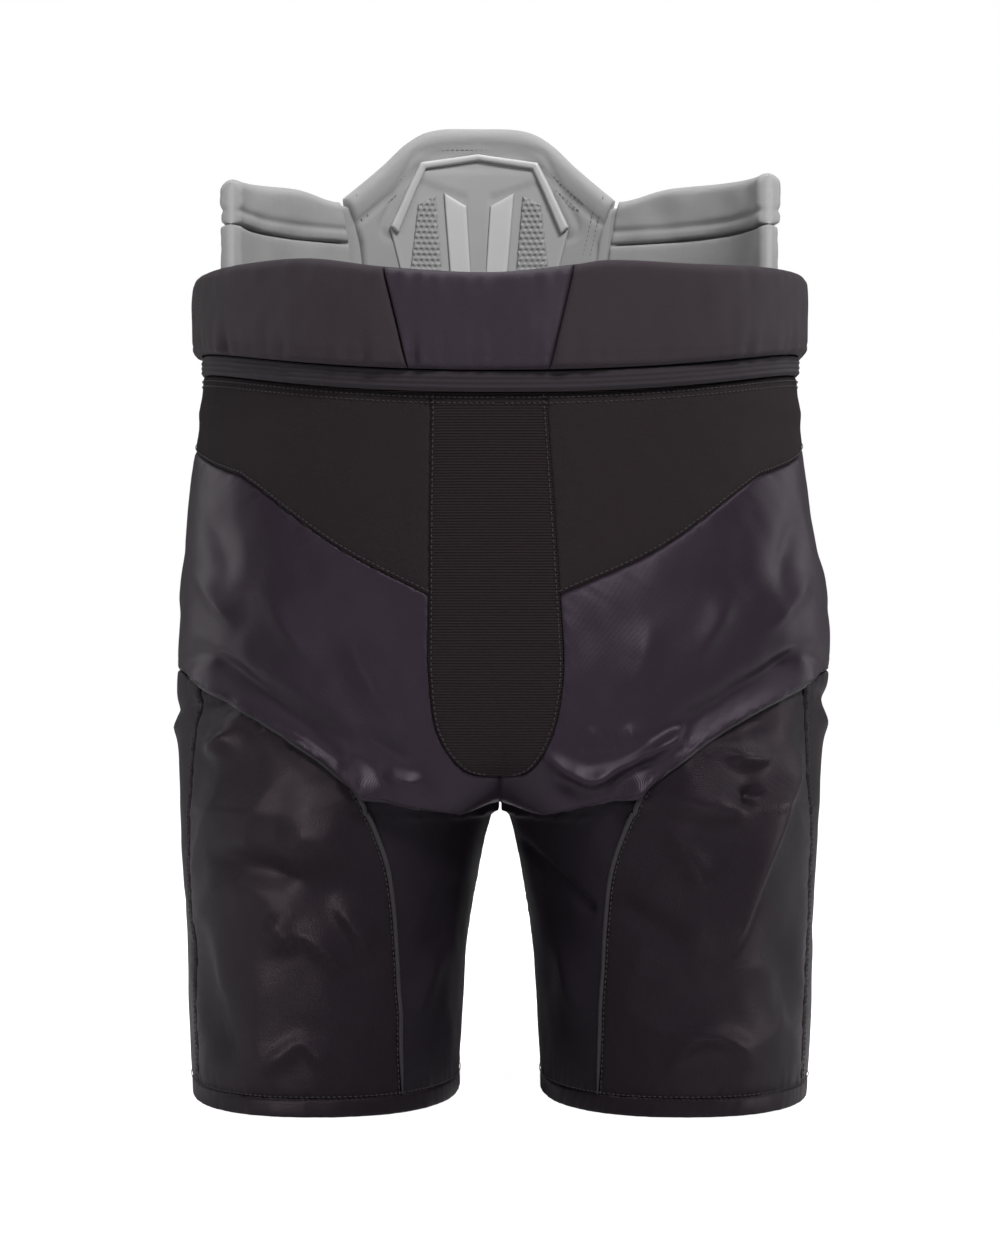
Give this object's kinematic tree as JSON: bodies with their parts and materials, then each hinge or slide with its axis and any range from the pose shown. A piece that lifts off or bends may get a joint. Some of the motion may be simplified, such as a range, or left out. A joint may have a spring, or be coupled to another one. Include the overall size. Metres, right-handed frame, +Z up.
{
  "type": "hockey pants",
  "caption": "Padded ice hockey pants with a wide padded belt, a stretch front gusset and yokes, two padded legs and a floating back protector with folding kidney wings.",
  "frame": {"origin": "on the floor under the middle of the pants, at the level of the leg hems", "axes": "+Z up, the front faces -Y, +X is the wearer's left"},
  "size_m": [0.4228, 0.292, 0.6444],
  "materials": {
    "stretch_cloth": "matte stretch woven, brown-black",
    "rib_knit": "matte fine rib knit, brown-black",
    "satin_cloth": "smooth woven with a soft sheen, purple-black",
    "twill_cloth": "heavy twill with a soft shine, black",
    "belt_cloth": "padded woven, charcoal",
    "lining_mesh": "open mesh lining, dark grey",
    "guard_plastic": "moulded plastic, black",
    "foam": "closed-cell foam, dark grey",
    "grey_cloth": "padded woven, mid grey",
    "grey_plastic": "moulded soft plastic, grey",
    "pale_plastic": "moulded plastic, light grey"
  },
  "bodies": {
    "hips": {"belt_front": "satin_cloth", "belt_wing_left": "belt_cloth", "belt_wing_right": "belt_cloth", "belt_back": "belt_cloth", "waist_roll_front": "rib_knit", "waist_roll_back": "rib_knit", "front_gusset": "rib_knit", "tailbone_guard": "guard_plastic", "tailbone_foam": "foam", "waist_lining": "lining_mesh", "yoke_left": "stretch_cloth", "thigh_panel_left": "satin_cloth", "seat_panel_left": "satin_cloth", "seat_yoke_left": "twill_cloth", "hip_guard_left": "guard_plastic", "hip_foam_left": "foam", "yoke_right": "stretch_cloth", "thigh_panel_right": "satin_cloth", "seat_panel_right": "satin_cloth", "seat_yoke_right": "twill_cloth", "hip_guard_right": "guard_plastic", "hip_foam_right": "foam"},
    "leg_left": {"leg_front_left": "twill_cloth", "side_strip_left": "twill_cloth", "inner_front_left": "satin_cloth", "inner_back_left": "satin_cloth", "leg_back_left": "twill_cloth", "hem_band_left": "twill_cloth", "leg_lining_left": "lining_mesh", "thigh_guard_left": "guard_plastic", "thigh_foam_left": "foam"},
    "leg_right": {"leg_front_right": "twill_cloth", "side_strip_right": "twill_cloth", "inner_front_right": "satin_cloth", "inner_back_right": "satin_cloth", "leg_back_right": "twill_cloth", "hem_band_right": "twill_cloth", "leg_lining_right": "lining_mesh", "thigh_guard_right": "guard_plastic", "thigh_foam_right": "foam"},
    "back_protector": {"back_pad": "grey_cloth", "back_cap": "grey_plastic", "cap_frame": "grey_plastic", "cap_strip_left": "pale_plastic", "cap_strip_right": "pale_plastic", "cap_plate_left": "grey_plastic", "cap_plate_right": "grey_plastic"},
    "kidney_wing_left": {"kidney_roll_left": "grey_cloth", "kidney_pad_left": "grey_cloth"},
    "kidney_wing_right": {"kidney_roll_right": "grey_cloth", "kidney_pad_right": "grey_cloth"}
  },
  "joints": [
    {"name": "hip_flex_left", "type": "hinge", "parent": "hips", "child": "leg_left", "pos_m": [0, 0, 0.25], "axis": [-1, 0, 0], "range_deg": [-15, 30], "deforming": ["thigh_panel_left", "seat_panel_left", "front_gusset"]},
    {"name": "hip_flex_right", "type": "hinge", "parent": "hips", "child": "leg_right", "pos_m": [0, 0, 0.25], "axis": [-1, 0, 0], "range_deg": [-15, 30], "deforming": ["thigh_panel_right", "seat_panel_right", "front_gusset"]},
    {"name": "back_float", "type": "slide", "parent": "hips", "child": "back_protector", "axis": [0, 0, 1], "range_m": [-0.01, 0.02]},
    {"name": "kidney_fold_left", "type": "hinge", "parent": "back_protector", "child": "kidney_wing_left", "pos_m": [0.0715, 0.1233, 0.53], "axis": [-0.139, 0.03, -0.9898], "range_deg": [0, 15], "stiffness_Nm_per_rad": 0.4},
    {"name": "kidney_fold_right", "type": "hinge", "parent": "back_protector", "child": "kidney_wing_right", "pos_m": [-0.1013, 0.1145, 0.53], "axis": [-0.137, -0.052, 0.9892], "range_deg": [0, 15], "stiffness_Nm_per_rad": 0.4}
  ]
}
